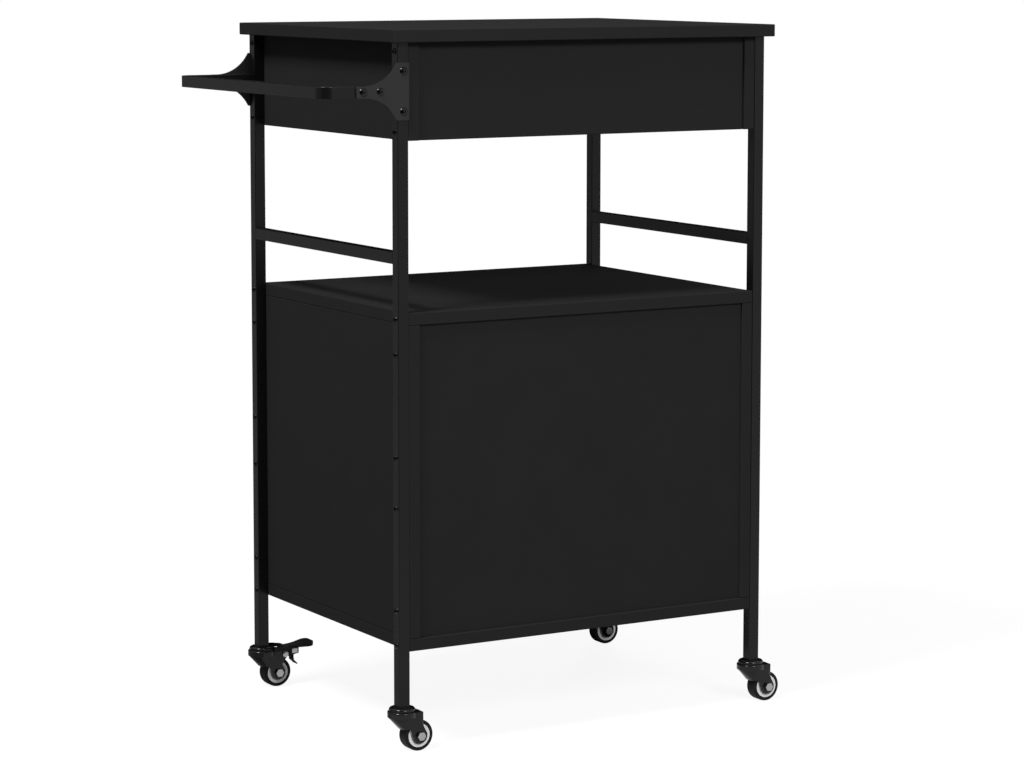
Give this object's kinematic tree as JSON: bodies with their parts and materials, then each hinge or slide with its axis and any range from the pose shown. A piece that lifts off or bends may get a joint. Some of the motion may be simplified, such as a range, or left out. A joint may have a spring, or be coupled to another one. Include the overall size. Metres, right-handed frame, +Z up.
{
  "type": "kitchen cart",
  "caption": "Tall black kitchen cart on swivel casters, with a worktop over a drawer, an open bay with guard rails, a cabinet with doors and a push handle at one end.",
  "frame": {"origin": "on the floor, midway between the posts", "axes": "+Z up, -Y out of the drawer and the doors, +X towards the push handle"},
  "size_m": [0.7236, 0.4582, 0.91],
  "materials": {
    "black_board": "matt black laminate on particle board",
    "hardboard": "matt black hardboard",
    "frame_steel": "black powder coat",
    "handle_steel": "black powder coat",
    "caster_steel": "black enamel on pressed steel",
    "brake_steel": "black enamel on pressed steel",
    "screw_steel": "black oxide steel",
    "zinc_steel": "zinc plate",
    "wheel_plastic": "light grey moulding",
    "tyre_rubber": "black rubber",
    "black_plastic": "black moulding",
    "dowel_wood": "plain beech"
  },
  "bodies": {
    "cart": {"board_dowels": "dowel_wood", "cabinet_back": "hardboard", "cabinet_bottom": "black_board", "cabinet_side_left": "black_board", "cabinet_side_right": "black_board", "caster_ball_races": "zinc_steel", "caster_stems": "caster_steel", "door_catch": "black_plastic", "drawer_box_back": "black_board", "drawer_box_side_left": "black_board", "drawer_box_side_right": "black_board", "guard_rail_left": "frame_steel", "guard_rail_right": "frame_steel", "handle_bolts": "screw_steel", "handle_brackets": "frame_steel", "hinge_cart_leaves": "zinc_steel", "hinge_pins": "zinc_steel", "inner_shelf": "black_board", "middle_shelf": "black_board", "post_back_left": "frame_steel", "post_back_right": "frame_steel", "post_front_left": "frame_steel", "post_front_right": "frame_steel", "post_inserts": "black_plastic", "post_screws": "screw_steel", "push_handle": "frame_steel", "shelf_pins": "zinc_steel", "slide_rails": "zinc_steel", "worktop": "black_board"},
    "drawer": {"drawer_front": "black_board", "drawer_side_left": "black_board", "drawer_side_right": "black_board", "drawer_back": "black_board", "drawer_bottom": "hardboard", "drawer_slides": "zinc_steel", "drawer_handle": "handle_steel"},
    "door_left": {"door_left": "black_board", "door_left_handle": "handle_steel", "door_left_fittings": "zinc_steel"},
    "door_right": {"door_right": "black_board", "door_right_handle": "handle_steel", "door_right_fittings": "zinc_steel"},
    "caster_front_left_fork": {"caster_front_left_fork": "caster_steel", "caster_front_left_axle": "zinc_steel"},
    "caster_front_left_wheel": {"caster_front_left_wheel_core": "wheel_plastic", "caster_front_left_tyre": "tyre_rubber"},
    "caster_front_left_brake": {"caster_front_left_brake_pedal": "brake_steel"},
    "caster_front_right_fork": {"caster_front_right_fork": "caster_steel", "caster_front_right_axle": "zinc_steel"},
    "caster_front_right_wheel": {"caster_front_right_wheel_core": "wheel_plastic", "caster_front_right_tyre": "tyre_rubber"},
    "caster_front_right_brake": {"caster_front_right_brake_pedal": "brake_steel"},
    "caster_back_left_fork": {"caster_back_left_fork": "caster_steel", "caster_back_left_axle": "zinc_steel"},
    "caster_back_left_wheel": {"caster_back_left_wheel_core": "wheel_plastic", "caster_back_left_tyre": "tyre_rubber"},
    "caster_back_right_fork": {"caster_back_right_fork": "caster_steel", "caster_back_right_axle": "zinc_steel"},
    "caster_back_right_wheel": {"caster_back_right_wheel_core": "wheel_plastic", "caster_back_right_tyre": "tyre_rubber"}
  },
  "joints": [
    {"name": "drawer_slide", "type": "slide", "parent": "cart", "child": "drawer", "axis": [0, -1, 0], "range_m": [0, 0.25]},
    {"name": "door_left_hinge", "type": "hinge", "parent": "cart", "child": "door_left", "pos_m": [-0.242, -0.2128, 0.343], "axis": [0, 0, -1], "range_deg": [0, 110]},
    {"name": "door_right_hinge", "type": "hinge", "parent": "cart", "child": "door_right", "pos_m": [0.242, -0.2128, 0.343], "axis": [0, 0, 1], "range_deg": [0, 110]},
    {"name": "caster_front_left_swivel", "type": "hinge", "parent": "cart", "child": "caster_front_left_fork", "pos_m": [-0.267, -0.202, 0.05], "axis": [0, 0, 1], "continuous": true},
    {"name": "caster_front_left_roll", "type": "hinge", "parent": "caster_front_left_fork", "child": "caster_front_left_wheel", "pos_m": [-0.287, -0.202, 0.02], "axis": [0, 1, 0], "continuous": true},
    {"name": "caster_front_left_brake_press", "type": "hinge", "parent": "caster_front_left_fork", "child": "caster_front_left_brake", "pos_m": [-0.2965, -0.202, 0.045], "axis": [0, -1, 0], "range_deg": [0, 24]},
    {"name": "caster_front_right_swivel", "type": "hinge", "parent": "cart", "child": "caster_front_right_fork", "pos_m": [0.267, -0.202, 0.05], "axis": [0, 0, 1], "continuous": true},
    {"name": "caster_front_right_roll", "type": "hinge", "parent": "caster_front_right_fork", "child": "caster_front_right_wheel", "pos_m": [0.247, -0.202, 0.02], "axis": [0, 1, 0], "continuous": true},
    {"name": "caster_front_right_brake_press", "type": "hinge", "parent": "caster_front_right_fork", "child": "caster_front_right_brake", "pos_m": [0.2375, -0.202, 0.045], "axis": [0, -1, 0], "range_deg": [0, 24]},
    {"name": "caster_back_left_swivel", "type": "hinge", "parent": "cart", "child": "caster_back_left_fork", "pos_m": [-0.267, 0.202, 0.05], "axis": [0, 0, 1], "continuous": true},
    {"name": "caster_back_left_roll", "type": "hinge", "parent": "caster_back_left_fork", "child": "caster_back_left_wheel", "pos_m": [-0.287, 0.202, 0.02], "axis": [0, 1, 0], "continuous": true},
    {"name": "caster_back_right_swivel", "type": "hinge", "parent": "cart", "child": "caster_back_right_fork", "pos_m": [0.267, 0.202, 0.05], "axis": [0, 0, 1], "continuous": true},
    {"name": "caster_back_right_roll", "type": "hinge", "parent": "caster_back_right_fork", "child": "caster_back_right_wheel", "pos_m": [0.247, 0.202, 0.02], "axis": [0, 1, 0], "continuous": true}
  ]
}
